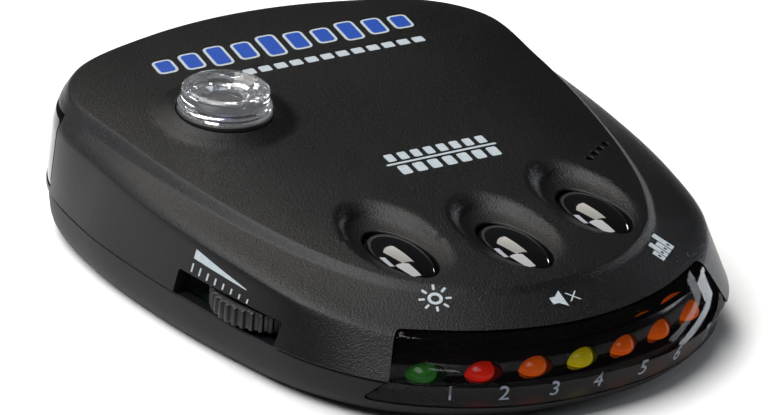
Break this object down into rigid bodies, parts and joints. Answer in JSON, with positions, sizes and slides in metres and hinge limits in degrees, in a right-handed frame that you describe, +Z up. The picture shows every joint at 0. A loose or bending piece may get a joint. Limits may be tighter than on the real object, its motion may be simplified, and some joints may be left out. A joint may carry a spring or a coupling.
{
  "type": "radar detector",
  "caption": "Compact windshield or dashboard radar detector: plastic clamshell with smoked display window, push buttons, volume thumbwheel, clear dome lens and horn antenna.",
  "frame": {"origin": "centre of the underside, on the surface that the detector rests on", "axes": "+Z up; +Y forward, towards the windshield; the driver's display and buttons are at the -Y end; +X is the driver's right"},
  "size_m": [0.0828, 0.0988, 0.0257],
  "materials": {
    "housing_top": "fine textured black",
    "housing_bottom": "smooth charcoal",
    "smoked_window": "smoked, polished",
    "radome_window": "polished, opaque to the eye",
    "clear_lens": "polished clear",
    "black_rubber": "matt",
    "sensor": "dark filter plastic",
    "button": "high gloss black",
    "switch_plunger": "ivory",
    "switch_body": "black",
    "led_green": "tinted, diffused",
    "led_red": "tinted, diffused",
    "led_orange": "tinted, diffused",
    "led_yellow": "tinted, diffused",
    "holder": "black",
    "wheel": "black, ribbed",
    "shaft": "natural",
    "steel": "plated",
    "black_steel": "black oxide",
    "phenolic": "brown",
    "board": "green solder mask",
    "mixer_board": "off-white laminate",
    "die_cast": "as cast",
    "tinplate": "bright",
    "chip": "moulded epoxy",
    "capacitor": "sleeved",
    "laser_glass": "deep red",
    "socket": "black",
    "label": "satin foil, blank"
  },
  "bodies": {
    "housing": {"top_cover": "housing_top", "bottom_cover": "housing_bottom", "display_window": "smoked_window", "radome": "radome_window", "dome_lens": "clear_lens", "dome_collar": "black_rubber", "sensor_riser": "board", "dome_sensor": "sensor", "dim_switch": "switch_body", "mute_switch": "switch_body", "city_switch": "switch_body", "led_1": "led_green", "led_2": "led_red", "led_3": "led_orange", "led_4": "led_yellow", "led_5": "led_orange", "led_6": "led_orange", "led_7": "led_orange", "led_holder": "holder", "volume_control": "phenolic", "main_board": "board", "horn_antenna": "die_cast", "mixer_board": "mixer_board", "mixer_cover": "tinplate", "buzzer": "switch_body", "controller_chip": "chip", "amplifier_chip": "chip", "laser_sensor": "sensor", "laser_lens": "laser_glass", "power_socket": "socket", "rating_label": "label", "capacitor_1": "capacitor", "capacitor_2": "capacitor", "capacitor_3": "capacitor", "case_screw_1": "black_steel", "case_screw_2": "black_steel", "case_screw_3": "black_steel", "case_screw_4": "black_steel", "board_screw_1": "steel", "board_screw_2": "steel", "horn_screw_1": "steel", "horn_screw_2": "steel"},
    "volume_dial": {"volume_wheel": "wheel", "volume_shaft": "shaft", "wheel_screw": "steel"},
    "dim_key": {"dim_button": "button", "dim_plunger": "switch_plunger"},
    "mute_key": {"mute_button": "button", "mute_plunger": "switch_plunger"},
    "city_key": {"city_button": "button", "city_plunger": "switch_plunger"}
  },
  "joints": [
    {"name": "volume_turn", "type": "hinge", "parent": "housing", "child": "volume_dial", "pos_m": [-0.0302, -0.0136, 0.0088], "axis": [0, 0, 1], "range_deg": [0, 270]},
    {"name": "dim_press", "type": "slide", "parent": "housing", "child": "dim_key", "axis": [0, 0, -1], "range_m": [0, 0.0005], "stiffness_N_per_m": 3000},
    {"name": "mute_press", "type": "slide", "parent": "housing", "child": "mute_key", "axis": [0, 0, -1], "range_m": [0, 0.0005], "stiffness_N_per_m": 3000},
    {"name": "city_press", "type": "slide", "parent": "housing", "child": "city_key", "axis": [0, 0, -1], "range_m": [0, 0.0005], "stiffness_N_per_m": 3000}
  ]
}
